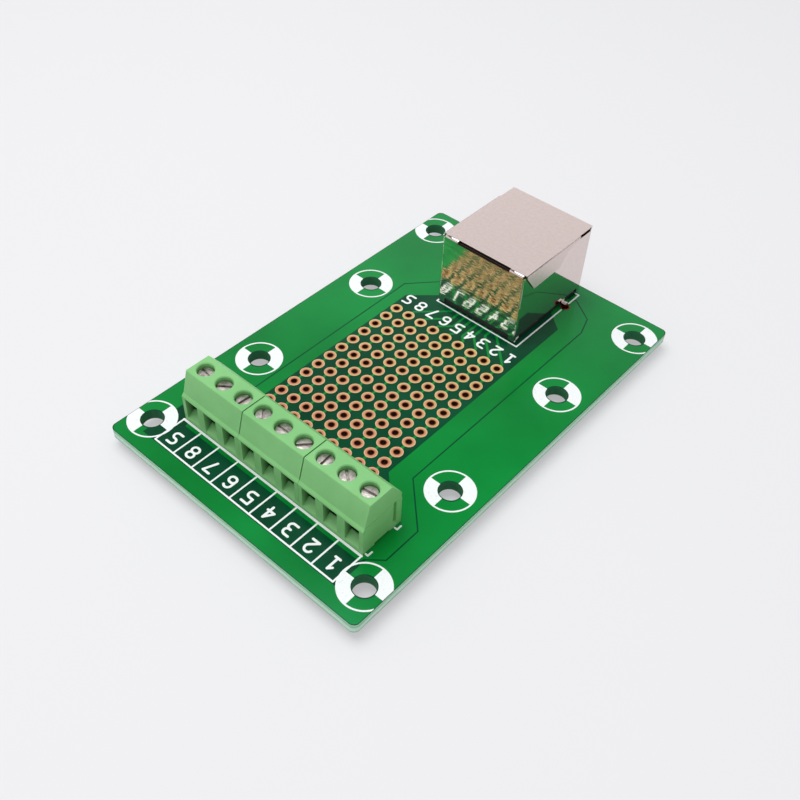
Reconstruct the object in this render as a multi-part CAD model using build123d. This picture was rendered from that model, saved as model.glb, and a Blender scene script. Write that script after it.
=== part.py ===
from build123d import *
import math
import os

# Ethernet breakout board, in millimetres. X runs along the short side of the board, Y along the long side
# towards the jack, Z up. The origin is the middle of the four corner holes, on the underside of the board.

# Board
board_w = 47.1
board_l = 72.5
board_t = 1.6
board_corner_r = 0.95
mount_hole_r = 1.6
corner_hole_dx = 40.94
corner_hole_dy = 62.4
inner_hole_dx = 37.4
inner_hole_dy = 24.9
foil_t = 0.07
foil_edge = 0.1

# Pad field, nine columns of plated holes
pad_pitch = 2.54
pad_rows = 12
pad_columns = 9
pad_x0 = -11.43
pad_y0 = 10.65
pad_r = 0.97
pad_hole_r = 0.42
plating = 0.05
pad_lift = 0.05
trace_w = 0.4
net_gap = 0.2
field_end_in = 1.0

# White print
silk_t = 0.03
silk_line = 0.26
silk_bold = 0.36
outline_left = 0.07
outline_right = 0.57
outline_rear = 0.12
outline_front_in = 0.85
outline_hook = 0.7
ring_r = 3.6
ring_line = 0.25
ring_inner_gap = 0.14
digit_h = 2.35
digit_stroke = 0.36
column_digit_y = 13.7

# Terminal blocks, three poles in each
pole_pitch = 3.81
poles_per_block = 3
blocks = 3
block_gap = 0.04
block_rear_y = -20.7
block_depth = 7.25
block_h = 8.6
block_wall_top = 5.95
block_top_front = 1.35
block_top_rear = 1.9
ledge_z = 4.55
ledge_d = 0.35
parting_z = 4.95
parting_step = 0.07
edge_r = 0.22
end_edge_r = 0.3
foot_h = 0.3
foot_len = 2.2
chamber_w = 3.0
chamber_wall_front = 1.35
chamber_wall_rear = 1.7
chamber_top = 7.1
screw_hole_r = 1.24
screw_hole_rim = 0.15
screw_from_rear = 4.0
entry_w = 2.45
entry_top = 4.3
entry_sill = 1.45
entry_sill_d = 0.15
ramp_foot = 0.55
rib_w = 0.5
rib_d = 0.3
rib_bottom = 1.0
rib_h = 4.0
rib_from_rear = 1.3
rib_clearance = 0.05

# Clamp screw, M2 with a slotted cheese head
screw_head_r = 1.15
screw_head_h = 0.85
screw_recess = 0.65
screw_r = 0.95
screw_slot_w = 0.42
screw_slot_d = 0.4
screw_slot_turn = 35
screw_head_edge = 0.12

# Rising clamp and the fixed bar that it closes on
clamp_clearance = 0.08
clamp_len = 2.4
clamp_wall = 0.4
clamp_floor = 0.5
nut_t = 0.7
nut_clearance = 0.05
clamp_travel = 2.1
clamp_end_gap = 0.1
clamp_bend_r = 0.2
bar_bend_r = 0.3
bar_t = 0.45
bar_bottom = 3.6
bar_play = 0.1
leg_t = 0.55
pin_w = 0.84
tail_below = 1.6
nut_seat = 0.05

# Label boxes in front of the terminals
label_front_y = -33.35
label_rear_y = -28.2

# Jack
jack_x = -0.2
jack_rear_y = 16.8
jack_w = 15.4
jack_l = 18.0
jack_h = 13.15
sheet_t = 0.25
sheet_bend_r = 0.3
lid_bend_r = 0.5
sheet_lift = 0.4
top_gap = 0.05
flap_gap = 0.03
flap_t = 0.22
flap_start_z = 0.5
flap_corners = [(2.8, 3.45), (9.3, 3.3), (10.2, 2.5), (11.2, 0.9), (13.9, 0.65)]
bridge_in = 4.9
bridge_out = 7.35
relief_play = 0.05
rear_slot_h = 0.5
rear_slot_d = 0.48
rear_edge_z = 1.3
rear_corner_w = 1.3
side_edge_z = 1.35
side_leg_l = 1.0
lid_front_in = 0.05
front_notch_l = 3.6
front_notch_h = 0.45
housing_play = 0.1
housing_top_play = 0.15
port_w = 11.8
port_bottom = 3.7
port_h = 7.2
latch_w = 6.3
latch_h = 2.1
port_depth = 13.0
peg_pitch = 11.43
peg_r = 1.55
peg_play = 0.05
peg_len = 3.2
peg_chamfer = 0.4
peg_from_rear = 10.1
tab_from_rear = 13.15
tab_w = 0.8
tab_len = 2.6
tab_hole_r = 0.6
tab_pad_r = 0.8
tab_hole_out = 0.6
tab_step_z = 0.5

# Jack contacts
contact_r = 0.2
contact_pitch = 1.02
tail_pitch = 1.27
tail_row_gap = 2.54
tail_from_rear = 1.21
jog_bottom = 1.2
jog_top = 3.3
contact_bend_r = 0.3
contact_nose_r = 0.7
contact_rise_from_rear = 1.8
contact_run_z = 11.4
contact_nose_from_front = 2.5
contact_tip_back = 6.6
contact_tip_z = 8.3
contact_tail_below = 1.5
groove_play = 0.06
carrier_w = 10.6
carrier_len = 3.0
carrier_from_rear = 1.5
carrier_bottom = 4.6
carrier_top = 12.0
carrier_play = 0.05
rear_bar_t = 0.4
rear_bar_h = 1.6

# Plated holes of the soldered parts, and their solder
pin_hole_r = 0.62
pin_pad_r = 1.1
tail_hole_r = 0.36
tail_pad_r = 0.6
solder_h = 1.0
solder_tip = 0.12
pad_clearance = 0.1

# Sizes that follow
top_z = board_t
half_l = board_l / 2
poles = poles_per_block * blocks
block_w = poles_per_block * pole_pitch
block_front_y = block_rear_y - block_depth
screw_y = block_rear_y - screw_from_rear
chamber_front_y = block_front_y + chamber_wall_front
chamber_rear_y = block_rear_y - chamber_wall_rear
bar_top = bar_bottom + bar_t
pin_y = chamber_rear_y - leg_t / 2
clamp_w = chamber_w - 2 * clamp_clearance
window_w = clamp_w - 2 * clamp_wall
bar_w = window_w - 2 * bar_play
nut_bottom = bar_top + nut_seat
window_bottom = bar_bottom - clamp_travel - clamp_end_gap
jack_front_y = jack_rear_y + jack_l
tail_row_y = (jack_rear_y + tail_from_rear, jack_rear_y + tail_from_rear + tail_row_gap)
tab_y = jack_rear_y + tab_from_rear
peg_y = jack_rear_y + peg_from_rear
column_x = [pad_x0 + pad_pitch * column for column in range(pad_columns)]
row_y = [pad_y0 - pad_pitch * row for row in range(pad_rows)]
pole_x = [pole_pitch * (pole - (poles - 1) / 2) for pole in range(poles)]
column_marks = "S87654321"


def solid_between(x0, x1, y0, y1, z0, z1):
    """A block given by two opposite corners."""
    centre = Pos((x0 + x1) / 2, (y0 + y1) / 2, (z0 + z1) / 2)
    return centre * Box(x1 - x0, y1 - y0, z1 - z0)


def post(x, y, radius, z0, z1):
    """An upright round post or drill."""
    return Pos(x, y, (z0 + z1) / 2) * Cylinder(radius, z1 - z0)


def upright(outline, z0, z1):
    """A flat outline raised from z0 to z1."""
    return Pos(0, 0, z0) * extrude(outline, amount=z1 - z0)


def polygon(points):
    """A face inside straight edges."""
    return make_face(Polyline(*points, close=True))


def stroke(start, end, width):
    """A straight line of the given width with round ends."""
    dx = end[0] - start[0]
    dy = end[1] - start[1]
    middle = Pos((start[0] + end[0]) / 2, (start[1] + end[1]) / 2)
    turn = Rot(0, 0, math.degrees(math.atan2(dy, dx)))
    return middle * turn * SlotCenterToCenter(math.hypot(dx, dy), width)


def arc_stroke(centre, radius, start_angle, sweep, width):
    """A round line of the given width with round ends."""
    return SlotArc(CenterArc(centre, radius, start_angle, sweep), width)


def line_run(points, width):
    """Straight lines joined end to end."""
    pairs = zip(points, points[1:])
    return Sketch() + [stroke(start, end, width) for start, end in pairs]


def corners(dx, dy):
    """The four centres of a rectangle of holes."""
    return [(sx * dx / 2, sy * dy / 2) for sx in (-1, 1) for sy in (-1, 1)]


mount_holes = corners(corner_hole_dx, corner_hole_dy) + corners(inner_hole_dx, inner_hole_dy)


def jack_pins():
    """Tail positions of the eight contacts, in two staggered rows, from contact 8 at -X to contact 1."""
    places = []
    for index in range(8):
        x = jack_x + tail_pitch * (index - 3.5)
        places.append((x, tail_row_y[index % 2]))
    return places


def tab_places():
    """Middle of each shield tab's hole."""
    return [(jack_x + side * (jack_w / 2 + tab_hole_out), tab_y) for side in (-1, 1)]


def peg_places():
    """Middle of each locating peg of the jack."""
    return [(jack_x + side * peg_pitch / 2, peg_y) for side in (-1, 1)]


# Copper foil under the mask

def board_face(inset):
    """The board's outline, drawn in by inset."""
    outline = Rectangle(board_w - 2 * inset, board_l - 2 * inset)
    return fillet(outline.vertices(), board_corner_r)


def foil_outlines():
    """Each field of copper as a flat outline: the pour round the edge, two shield nets, eight column nets."""
    strip_x1 = column_x[0] - 1.17
    strip_x0 = strip_x1 - 1.95
    shield_x0 = column_x[-1] + 1.58
    shield_x1 = shield_x0 + 3.03
    end_x = block_w * blocks / 2 + 2.6
    bend_y = row_y[-1] + 3.04
    label_y = label_front_y - silk_line
    field_end_y = jack_front_y - field_end_in
    front_strip_y = label_rear_y - 0.75
    tab_left, tab_right = tab_places()
    wall_left = jack_x - jack_w / 2
    wall_right = jack_x + jack_w / 2

    right_net = polygon([
        (wall_right - 1.0, tab_y + 1.6),
        (wall_right + 1.0, tab_y + 2.5),
        (shield_x1 - 1.1, tab_y - 0.15),
        (shield_x1, tab_y - 3.5),
        (shield_x1, bend_y),
        (end_x, bend_y - end_x + shield_x1),
        (end_x, label_rear_y + 1.7),
        (end_x - 2.1, label_rear_y - 0.1),
        (end_x - 2.3, front_strip_y),
        (pole_x[0] - 0.8, front_strip_y),
        (pole_x[0] - 0.8, label_rear_y + 0.9),
        (end_x - 3.0, label_rear_y + 0.9),
        (end_x - 3.0, block_rear_y - 1.2),
        (shield_x0 + 1.35, row_y[-1] + 0.35),
        (shield_x0, row_y[-1] + 1.65),
        (shield_x0, tab_y - 5.4),
        (wall_right - 1.0, tab_y - 2.2),
    ])
    left_net = polygon([
        (strip_x0, row_y[-1] - 0.4),
        (strip_x1, row_y[-1] - 0.4),
        (strip_x1, pad_y0 + 3.5),
        (wall_left + 1.0, tab_y - 10.35),
        (wall_left + 1.0, tab_y + 1.4),
        (wall_left - 1.6, tab_y + 1.4),
        (wall_left - 1.6, tab_y - 1.4),
        (wall_left - 1.0, tab_y - 2.0),
        (wall_left - 1.0, tab_y - 7.2),
        (strip_x0, pad_y0 + 5.6),
    ])

    field = polygon([
        (wall_left, field_end_y),
        (wall_left, tab_y - 7.2),
        (strip_x0 + 0.5, pad_y0 + 5.0),
        (strip_x0 + 0.5, row_y[-1]),
        (-end_x + net_gap, block_rear_y),
        (-end_x + net_gap, label_y),
        (end_x - 1.8, label_y),
        (end_x - 1.8, label_rear_y - net_gap),
        (end_x - 0.5, label_rear_y + 1.7),
        (end_x - 0.5, bend_y - end_x + shield_x1),
        (shield_x1 - 0.5, bend_y),
        (shield_x1 - 0.5, tab_y - 3.5),
        (wall_right, tab_y + 1.0),
        (wall_right, field_end_y),
    ])
    spacing = [offset(net, net_gap, kind=Kind.INTERSECTION) for net in (left_net, right_net)]
    pour = board_face(foil_edge) - field - spacing

    right_net = right_net + stroke((pole_x[0], label_rear_y + 0.4), (pole_x[0], pin_y), 1.2)
    left_net = left_net + stroke((column_x[0], row_y[0]), (strip_x1 - 0.5, row_y[0]), trace_w)
    left_net = left_net + stroke((column_x[0], row_y[0]), (column_x[0], row_y[-1]), trace_w)

    lands = [Pos(column_x[0], y) * Circle(pad_r) for y in row_y]
    lands.append(Pos(*tab_left) * Circle(tab_pad_r))
    left_net = left_net + lands
    right_net = right_net + [Pos(*tab_right) * Circle(tab_pad_r), Pos(pole_x[0], pin_y) * Circle(pin_pad_r)]
    nets = [right_net, left_net]
    pins = jack_pins()
    for index in range(8):
        x = column_x[index + 1]
        pin = pins[index]
        turn_y = row_y[0] + 1.3
        fan_y = turn_y + abs(pin[0] - x)
        terminal = pole_x[index + 1]
        route = [pin, (pin[0], fan_y), (x, turn_y), (x, row_y[-1] - 1.0), (terminal, pin_y)]
        lands = [Pos(x, y) * Circle(pad_r) for y in row_y]
        lands += [Pos(*pin) * Circle(tail_pad_r), Pos(terminal, pin_y) * Circle(pin_pad_r)]
        nets.append(line_run(route, trace_w) + lands)
    return [pour] + nets


def foil_solids():
    """The foil fields, let into the board so that the mask over them is level."""
    cuts = Sketch() + [Pos(x, y) * Circle(mount_hole_r + net_gap) for x, y in mount_holes]
    drills = [(x, y, pad_hole_r + plating) for x in column_x for y in row_y]
    drills += [(x, pin_y, pin_hole_r + plating) for x in pole_x]
    drills += [(x, y, tail_hole_r + plating) for x, y in jack_pins()]
    drills += [(x, y, tab_hole_r + plating) for x, y in tab_places()]
    drills += [(x, y, peg_r + peg_play + net_gap) for x, y in peg_places()]
    cuts = cuts + [Pos(x, y) * Circle(r) for x, y, r in drills]
    solids = []
    for outline in foil_outlines():
        field = upright(outline - cuts, top_z - foil_t, top_z)
        solids.extend(field.solids())
    return solids


def board_solid(foil):
    """The laminate with every drilled hole, and pockets for the foil."""
    board = upright(board_face(0), 0, board_t)
    holes = [(x, y, mount_hole_r) for x, y in mount_holes]
    holes += [(x, y, pad_hole_r + plating) for x in column_x for y in row_y]
    holes += [(x, pin_y, pin_hole_r + plating) for x in pole_x]
    holes += [(x, y, tail_hole_r + plating) for x, y in jack_pins()]
    holes += [(x, y, tab_hole_r + plating) for x, y in tab_places()]
    holes += [(x, y, peg_r + peg_play) for x, y in peg_places()]
    board = board - [post(x, y, r, -1, board_t + 1) for x, y, r in holes]
    return board - foil


def eyelet(x, y, hole_r, rim_r):
    """A plated hole: a barrel through the board with a flat rim on each face."""
    rims = post(x, y, rim_r, top_z, top_z + pad_lift) + post(x, y, rim_r, -pad_lift, 0)
    barrel = post(x, y, hole_r + plating, -pad_lift, top_z + pad_lift)
    return rims + barrel - post(x, y, hole_r, -1, top_z + 1)


# White print

def half_ring(centre, radius, start_angle, width):
    """Half a circle drawn clockwise."""
    return arc_stroke(centre, radius, start_angle, -180, width)


def glyph(mark, height, width):
    """A plain stroked digit or S, upright, with its middle at the origin."""
    b = (height - width) / 2
    a = 0.25 * height
    r = b / 2
    run = a - r
    if mark == "1":
        parts = [stroke((0, -b), (0, b), width), stroke((0, b), (-0.8 * a, b - r), width)]
        parts.append(stroke((-0.7 * a, -b), (0.7 * a, -b), width))
    elif mark == "2":
        parts = [arc_stroke((0, b - a), a, 165, -205, width)]
        knee = (a * math.cos(math.radians(-40)), b - a + a * math.sin(math.radians(-40)))
        parts += [stroke(knee, (-a, -b), width), stroke((-a, -b), (a, -b), width)]
    elif mark == "3":
        parts = [half_ring((run, r), r, 90, width), half_ring((run, -r), r, 90, width)]
        parts += [stroke((-a, b), (run, b), width), stroke((-a, -b), (run, -b), width)]
        parts.append(stroke((-0.2 * a, 0), (run, 0), width))
    elif mark == "4":
        parts = [stroke((0.45 * a, -b), (0.45 * a, b), width), stroke((0.45 * a, b), (-a, -0.3 * b), width)]
        parts.append(stroke((-a, -0.3 * b), (a, -0.3 * b), width))
    elif mark == "5":
        parts = [stroke((a, b), (-a, b), width), stroke((-a, b), (-a, 0), width)]
        parts += [stroke((-a, 0), (run, 0), width), half_ring((run, -r), r, 90, width)]
        parts.append(stroke((run, -b), (-a, -b), width))
    elif mark == "6":
        parts = [half_ring((run, -r), r, 90, width), half_ring((-run, -r), r, 270, width)]
        parts += [stroke((-run, 0), (run, 0), width), stroke((-run, -b), (run, -b), width)]
        parts.append(stroke((-a, -r), (-a, b - a), width))
        parts.append(arc_stroke((0, b - a), a, 180, -140, width))
    elif mark == "7":
        parts = [stroke((-a, b), (a, b), width), stroke((a, b), (-0.35 * a, -b), width)]
    elif mark == "8":
        parts = [half_ring((run, side * r), r, 90, width) for side in (-1, 1)]
        parts += [half_ring((-run, side * r), r, 270, width) for side in (-1, 1)]
        parts += [stroke((-run, level), (run, level), width) for level in (-b, 0, b)]
    else:
        parts = [half_ring((-run, r), r, 270, width), half_ring((run, -r), r, 90, width)]
        parts += [stroke((-run, b), (a, b), width), stroke((-run, 0), (run, 0), width)]
        parts.append(stroke((run, -b), (-a, -b), width))
    return Sketch() + parts


def mount_ring(x, y):
    """The print round a mounting hole: a thin ring with two opposite quarters filled."""
    ring = Circle(ring_r) - Circle(ring_r - ring_line)
    quarters = Pos(ring_r / 2, ring_r / 2) * Rectangle(ring_r, ring_r)
    quarters = quarters + Pos(-ring_r / 2, -ring_r / 2) * Rectangle(ring_r, ring_r)
    filled = (Circle(ring_r) & quarters) - Circle(mount_hole_r + ring_inner_gap)
    return (Pos(x, y) * (ring + filled)) & board_face(0.08)


def label_boxes():
    """Nine boxes in front of the terminals, with a bold line along the block."""
    x0 = pole_x[0] - pole_pitch / 2
    x1 = pole_x[-1] + pole_pitch / 2
    lines = [stroke((x0, label_front_y), (x1, label_front_y), silk_line)]
    lines.append(stroke((x0, label_rear_y), (x1, label_rear_y), silk_bold))
    for index in range(poles + 1):
        x = x0 + index * pole_pitch
        lines.append(stroke((x, label_front_y), (x, label_rear_y), silk_line))
    return Sketch() + lines


def jack_outline():
    """The printed outline of the jack, broken where the shield's tabs are soldered."""
    left = jack_x - jack_w / 2 - outline_left
    right = jack_x + jack_w / 2 + outline_right
    rear = jack_rear_y - outline_rear
    front = jack_front_y - outline_front_in
    lines = []
    for x in (left, right):
        lines.append(stroke((x, rear), (x, tab_y - tab_pad_r - silk_line), silk_line))
        lines.append(stroke((x, tab_y + tab_pad_r + silk_line), (x, front), silk_line))
    lines.append(stroke((left, rear), (right, rear), silk_line))
    lines.append(stroke((right, front), (right - outline_hook, front), silk_line))
    return Sketch() + lines


def block_end_marks():
    """Two small hooks printed at the end of the terminal block."""
    x = pole_x[-1] + pole_pitch / 2 + 0.15
    marks = Sketch()
    for y in (block_rear_y - 0.95, block_front_y + 0.75):
        marks = marks + [stroke((x, y - 0.4), (x + 0.4, y - 0.4), silk_line)]
        marks = marks + [stroke((x + 0.4, y - 0.4), (x + 0.4, y + 0.35), silk_line)]
    return marks


def silk_solids():
    """All print as thin raised fields."""
    sheets = [mount_ring(x, y) for x, y in mount_holes]
    sheets += [label_boxes(), jack_outline(), block_end_marks()]
    label_y = (label_front_y + label_rear_y) / 2 - 0.65
    for index, mark in enumerate(column_marks):
        mark_face = Rot(0, 0, 180) * glyph(mark, digit_h, digit_stroke)
        sheets.append(Pos(pole_x[index], label_y) * mark_face)
        sheets.append(Pos(column_x[index], column_digit_y) * mark_face)
    whole = Sketch() + sheets
    return upright(whole, top_z, top_z + silk_t).solids()


# Terminal block

def block_profile():
    """Side section of a terminal housing, Y then Z above the board."""
    slope_foot = block_front_y + ledge_d
    points = [
        (block_front_y, 0),
        (block_front_y, ledge_z),
        (slope_foot, ledge_z + ledge_d + 0.1),
        (block_front_y + block_top_front, block_h),
        (block_rear_y - block_top_rear, block_h),
        (block_rear_y, block_wall_top),
        (block_rear_y, 0),
    ]
    return [(0, y, z + top_z) for y, z in points]


def terminal_housing(number):
    """One moulded housing of three poles, numbered from -X."""
    centre_x = block_w * (number - (blocks + 1) / 2)
    half = (block_w - block_gap) / 2
    section = make_face(Polyline(*block_profile(), close=True))
    body = Pos(centre_x - half, 0, 0) * extrude(section, amount=2 * half, dir=(1, 0, 0))
    crown = body.edges().filter_by(Axis.X).filter_by(lambda e: e.center().Z > top_z + ledge_z - 0.1)
    body = fillet(crown, edge_r)
    for side in (-1, 1):
        face_x = centre_x + side * half
        inner_x = face_x - side * parting_step
        outer_x = sorted((inner_x, face_x + side))
        outer = solid_between(outer_x[0], outer_x[1], block_front_y - 1, block_rear_y + 1,
                              top_z + parting_z, top_z + block_h + 1)
        body = body - outer
    rib_y = block_rear_y - rib_from_rear
    rib_z0 = top_z + rib_bottom
    recess_x = centre_x + half
    body = body - solid_between(recess_x - rib_d - rib_clearance, recess_x + 1,
                                rib_y - rib_w / 2 - rib_clearance, rib_y + rib_w / 2 + rib_clearance,
                                rib_z0 - rib_clearance, rib_z0 + rib_h + rib_clearance)
    body = body + solid_between(centre_x - half - rib_d, centre_x - half + 0.1, rib_y - rib_w / 2,
                                rib_y + rib_w / 2, rib_z0, rib_z0 + rib_h - block_gap)
    body = body - solid_between(centre_x - half - 1, centre_x + half + 1, block_front_y + foot_len,
                                block_rear_y - foot_len, top_z - 1, top_z + foot_h)
    for x in pole_x[(number - 1) * poles_per_block:number * poles_per_block]:
        body = body - pole_cavity(x)
    return body


def pole_cavity(x):
    """What is cut from the housing for one pole: chamber, screw hole, wire entry and its ramp."""
    chamber = solid_between(x - chamber_w / 2, x + chamber_w / 2, chamber_front_y, chamber_rear_y,
                            top_z - 1, top_z + chamber_top)
    hole = post(x, screw_y, screw_hole_r, top_z + chamber_top - 0.5, top_z + block_h + 1)
    rim = Pos(x, screw_y, top_z + block_h) * Cone(screw_hole_r, screw_hole_r + screw_hole_rim, screw_hole_rim,
                                                   align=(Align.CENTER, Align.CENTER, Align.MAX))
    entry_points = [
        (x, block_front_y - 1, top_z + entry_top),
        (x, chamber_front_y + 0.5, top_z + entry_top),
        (x, chamber_front_y + 0.5, top_z + entry_sill),
        (x, chamber_front_y - entry_sill_d, top_z + entry_sill),
        (x, block_front_y, top_z + ramp_foot),
        (x, block_front_y - 1, top_z + ramp_foot),
    ]
    rim_relief = post(x, pin_y, pin_pad_r + pad_clearance, top_z - 1, top_z + pad_lift + pad_clearance)
    entry_face = make_face(Polyline(*entry_points, close=True))
    entry = Pos(-entry_w / 2, 0, 0) * extrude(entry_face, amount=entry_w, dir=(1, 0, 0))
    return [chamber, hole, rim, rim_relief, entry]


def clamp_screw(x):
    """Slotted screw: its tip stands on the fixed bar and its head turns in the housing."""
    head_top = top_z + block_h - screw_recess
    head_bottom = head_top - screw_head_h
    tip = top_z + bar_top
    head = post(x, screw_y, screw_head_r, head_bottom, head_top)
    head = chamfer(head.edges().group_by(Axis.Z)[-1], screw_head_edge)
    screw = head + post(x, screw_y, screw_r, tip, head_bottom)
    slot = solid_between(x - screw_slot_w / 2, x + screw_slot_w / 2, screw_y - screw_head_r - 1,
                         screw_y + screw_head_r + 1, head_top - screw_slot_d, head_top + 1)
    return screw - Pos(x, screw_y, 0) * Rot(0, 0, screw_slot_turn) * Pos(-x, -screw_y, 0) * slot


def clamp_cage(x):
    """Rising clamp: a frame round the fixed bar, with a threaded top for the screw."""
    y0 = screw_y - clamp_len / 2
    y1 = screw_y + clamp_len / 2
    z0 = top_z + window_bottom - clamp_floor
    z1 = top_z + nut_bottom + nut_t
    frame = solid_between(x - clamp_w / 2, x + clamp_w / 2, y0, y1, z0, z1)
    frame = fillet(frame.edges().filter_by(Axis.Y), clamp_bend_r)
    window = solid_between(x - window_w / 2, x + window_w / 2, y0 - 1, y1 + 1, z0 + clamp_floor, z1 - nut_t)
    bore = post(x, screw_y, screw_r + nut_clearance, z1 - nut_t - 1, z1 + 1)
    return frame - window - bore


def terminal_pin(x):
    """Fixed bar bent down at the back, with a narrower solder pin through the board."""
    y0 = chamber_front_y + 0.1
    y1 = chamber_rear_y
    half = bar_w / 2
    tongue = solid_between(x - half, x + half, y0, y1, top_z + bar_bottom, top_z + bar_top)
    leg = solid_between(x - half, x + half, y1 - leg_t, y1, top_z + pad_lift, top_z + bar_top)
    bar = tongue + leg
    bend = bar.edges().filter_by(Axis.X).sort_by(lambda e: e.center().Y + e.center().Z)[-1]
    bar = fillet(bend, bar_bend_r)
    tail = solid_between(x - pin_w / 2, x + pin_w / 2, y1 - leg_t, y1, -tail_below, top_z + pad_lift)
    return bar + tail


# Jack

def jack_shield():
    """One folded sheet: top, rear plate on two bridges, sides, front frame, side flaps and board tabs."""
    half = jack_w / 2
    z0 = top_z + sheet_lift
    z1 = top_z + jack_h - sheet_t - top_gap
    top = top_z + jack_h
    y0 = jack_rear_y
    y1 = jack_front_y
    wall = solid_between(-half, half, y0, y1, z0, z1)
    wall = fillet(wall.edges().filter_by(Axis.Z), sheet_bend_r)
    inside = solid_between(-half + sheet_t, half - sheet_t, y0 + sheet_t, y1 - sheet_t, z0 - 1, z1 + 1)
    inside = fillet(inside.edges().filter_by(Axis.Z), sheet_bend_r - sheet_t)
    wall = wall - inside
    wall = wall - solid_between(-half + rear_corner_w, half - rear_corner_w, y0 - 1, y0 + sheet_t + 0.1,
                                z0 - 1, top_z + rear_edge_z)

    flap_in = half + flap_gap
    flap_out = flap_in + flap_t
    rear_drop = lid_bend_r + sheet_t
    flap_rear = y0 + lid_bend_r + relief_play
    cover = solid_between(-flap_out, flap_out, y0, y1, top - rear_drop, top)
    cover = fillet(cover.edges().filter_by(Axis.X).group_by(Axis.Z)[-1].group_by(Axis.Y)[0], lid_bend_r)
    under = solid_between(-flap_out - 1, flap_out + 1, y0 + sheet_t, y1 + 1,
                          top - 2 * rear_drop, top - sheet_t)
    inner_bend = under.edges().filter_by(Axis.X).group_by(Axis.Z)[-1].group_by(Axis.Y)[0]
    cover = cover - fillet(inner_bend, lid_bend_r - sheet_t)
    for side in (-1, 1):
        relief_x = sorted((side * bridge_out, side * (flap_out + 1)))
        cover = cover - solid_between(relief_x[0], relief_x[1], y0 - 1, flap_rear,
                                      top - 2 * rear_drop, top + 1)
    folds = cover.edges().filter_by(Axis.Y).group_by(Axis.Z)[-1]
    outer_folds = [edge for edge in folds if abs(edge.center().X) > half]
    cover = fillet(outer_folds, flap_t - 0.02)
    flap_front = y1 - front_notch_l
    flap_points = [
        (flap_rear, top - sheet_t / 2),
        (flap_rear, top - flap_start_z),
    ]
    flap_points += [(y0 + along, top - below) for along, below in flap_corners]
    flap_points.append((flap_front, top - sheet_t / 2))
    for side in (-1, 1):
        face = make_face(Polyline(*[(side * flap_in, y, z) for y, z in flap_points], close=True))
        cover = cover + extrude(face, amount=flap_t, dir=(side, 0, 0))
        gap_x = sorted((side * (half + 1), side * (half - 2 * sheet_t)))
        wall = wall - solid_between(gap_x[0], gap_x[1], y0 + side_leg_l, y1 - side_leg_l,
                                    z0 - 1, top_z + side_edge_z)
        edge_x = half - lid_front_in
        cover = cover - solid_between(min(side * edge_x, side * (flap_out + 1)),
                                      max(side * edge_x, side * (flap_out + 1)),
                                      flap_front, y1 + 1, top - 1, top + 1)
        notch = solid_between(min(side * (half + 1), side * (half - sheet_t - 0.1)),
                              max(side * (half + 1), side * (half - sheet_t - 0.1)),
                              flap_front, y1 - sheet_bend_r - 0.2, z1 - front_notch_h, z1 + 1)
        wall = wall - notch
        inner = half - sheet_t
        outer = half + tab_hole_out + sheet_t / 2
        step_z = top_z + tab_step_z
        for x0, x1, low, high in (
            (inner, half, step_z, top_z + side_edge_z + 0.1),
            (inner, outer, step_z, step_z + sheet_t),
            (outer - sheet_t, outer, top_z - tab_len, step_z + sheet_t),
        ):
            leg_x = sorted((side * x0, side * x1))
            wall = wall + solid_between(leg_x[0], leg_x[1], tab_y - tab_w / 2, tab_y + tab_w / 2, low, high)
    cover = cover + solid_between(-bridge_in, bridge_in, y1 - sheet_t, y1, z1 - 0.1, top - sheet_t / 2)
    shield = wall + cover
    shield = shield - solid_between(-bridge_in, bridge_in, y0 - 1, y0 + rear_slot_d,
                                    top - rear_slot_h, top + 1)
    port_z = top_z + port_bottom
    shield = shield - solid_between(-port_w / 2, port_w / 2, y1 - 1, y1 + 1, port_z, port_z + port_h)
    shield = shield - solid_between(-latch_w / 2, latch_w / 2, y1 - 1, y1 + 1, port_z - latch_h, port_z + 1)
    return Pos(jack_x, 0, 0) * shield


def groove_x(index):
    """Middle of a contact in the port, from contact 8 at -X."""
    return jack_x + contact_pitch * (index - 3.5)


def jack_housing():
    """Black moulding with the port, the latch channel, contact grooves, a rear pocket and two pegs."""
    half = jack_w / 2 - sheet_t - housing_play
    y0 = jack_rear_y + sheet_t + housing_play
    y1 = jack_front_y - sheet_t - housing_play
    z1 = top_z + jack_h - sheet_t - housing_top_play
    body = solid_between(jack_x - half, jack_x + half, y0, y1, top_z + pad_lift, z1)
    pocket_front = jack_rear_y + carrier_from_rear + carrier_len
    pocket = carrier_w / 2 + carrier_play
    port_z = top_z + port_bottom
    body = body - solid_between(jack_x - port_w / 2, jack_x + port_w / 2, y1 - port_depth, y1 + 1,
                                port_z, port_z + port_h)
    body = body - solid_between(jack_x - latch_w / 2, jack_x + latch_w / 2, y1 - port_depth + 1.5, y1 + 1,
                                port_z - latch_h, port_z + 1)
    body = body - solid_between(jack_x - pocket, jack_x + pocket, y0 + rear_bar_t, pocket_front,
                                top_z - 1, top_z + carrier_top)
    body = body - solid_between(jack_x - pocket, jack_x + pocket, y0 - 1, y0 + rear_bar_t + 0.1,
                                top_z + rear_bar_h, top_z + carrier_top)
    groove = contact_r + groove_play
    nose_y = jack_front_y - contact_nose_from_front + contact_r + 0.3
    for index in range(8):
        x = groove_x(index)
        body = body - solid_between(x - groove, x + groove, pocket_front - 1, nose_y, port_z + port_h - 1,
                                    top_z + contact_run_z + groove)
    for x, y in peg_places():
        peg = post(x, y, peg_r, top_z - peg_len, top_z + 0.5)
        peg = chamfer(peg.edges().group_by(Axis.Z)[0], peg_chamfer)
        body = body + peg
    return body


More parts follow.
